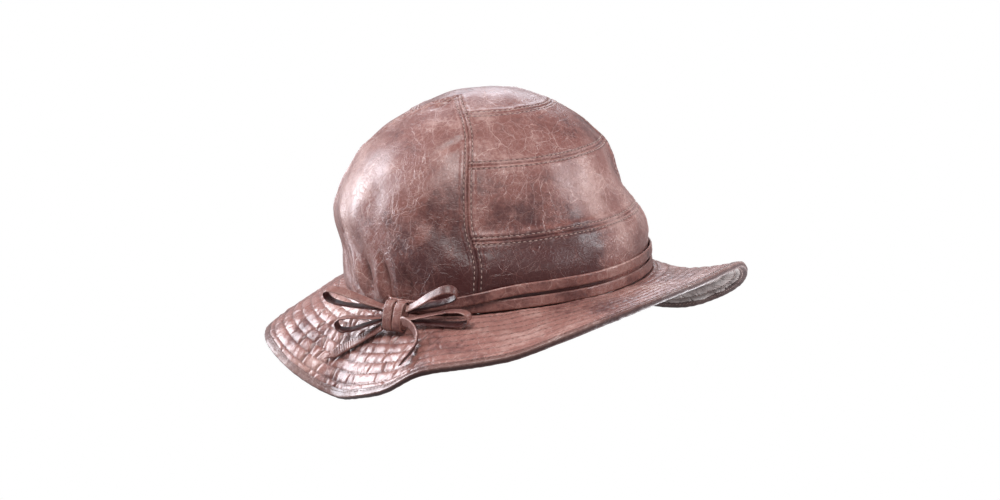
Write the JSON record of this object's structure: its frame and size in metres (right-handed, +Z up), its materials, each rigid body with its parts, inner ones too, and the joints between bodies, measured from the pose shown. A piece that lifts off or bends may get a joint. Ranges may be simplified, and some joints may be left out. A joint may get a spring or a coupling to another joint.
{
  "type": "leather bucket hat",
  "caption": "Soft leather bucket hat with a pieced dome crown, a wavy stitched brim, a double strap band and a strap bow at the wearer's right.",
  "frame": {"origin": "centre of the head opening, level with the seam between crown and brim", "axes": "+Z up the crown, -Y the front of the hat, -X the wearer's right, where the bow sits"},
  "size_m": [0.2717, 0.3001, 0.1677],
  "materials": {
    "crown_leather": "semi-gloss distressed aniline",
    "brim_leather": "semi-gloss distressed aniline",
    "binding_leather": "semi-gloss",
    "strap_leather": "semi-gloss",
    "sweatband_leather": "matt",
    "lining_cloth": "satin",
    "stiffening": "matt",
    "seam_tape": "matt",
    "label_cloth": "satin"
  },
  "bodies": {
    "root": {"side_panel_right": "crown_leather", "side_panel_left": "crown_leather", "crown_top_strip": "crown_leather", "front_strip_upper": "crown_leather", "front_strip_middle": "crown_leather", "front_strip_lower": "crown_leather", "back_strip_upper": "crown_leather", "back_strip_middle": "crown_leather", "back_strip_lower": "crown_leather", "brim_upper": "brim_leather", "brim_under": "brim_leather", "brim_interlining": "stiffening", "brim_binding": "binding_leather", "sweatband": "sweatband_leather", "seam_tape": "seam_tape", "lining_right": "lining_cloth", "lining_left": "lining_cloth", "lining_centre": "lining_cloth", "blank_label": "label_cloth", "band_lower": "strap_leather", "band_upper": "strap_leather", "bow_knot": "strap_leather", "bow_knot_core": "strap_leather", "bow_loop_back_upper": "strap_leather", "bow_loop_back_lower": "strap_leather", "bow_loop_front_upper": "strap_leather", "bow_loop_front_lower": "strap_leather"},
    "tail_back": {"bow_tail_back": "strap_leather"},
    "tail_front": {"bow_tail_front": "strap_leather"}
  },
  "joints": [
    {"name": "tail_back_lift", "type": "hinge", "parent": "root", "child": "tail_back", "pos_m": [-0.1089, -0.0182, -0.0086], "axis": [-0.2419, 0.9703, 0], "range_deg": [0, 25]},
    {"name": "tail_front_lift", "type": "hinge", "parent": "root", "child": "tail_front", "pos_m": [-0.1083, -0.0359, -0.0034], "axis": [-0.2419, 0.9703, 0], "range_deg": [0, 50]}
  ]
}
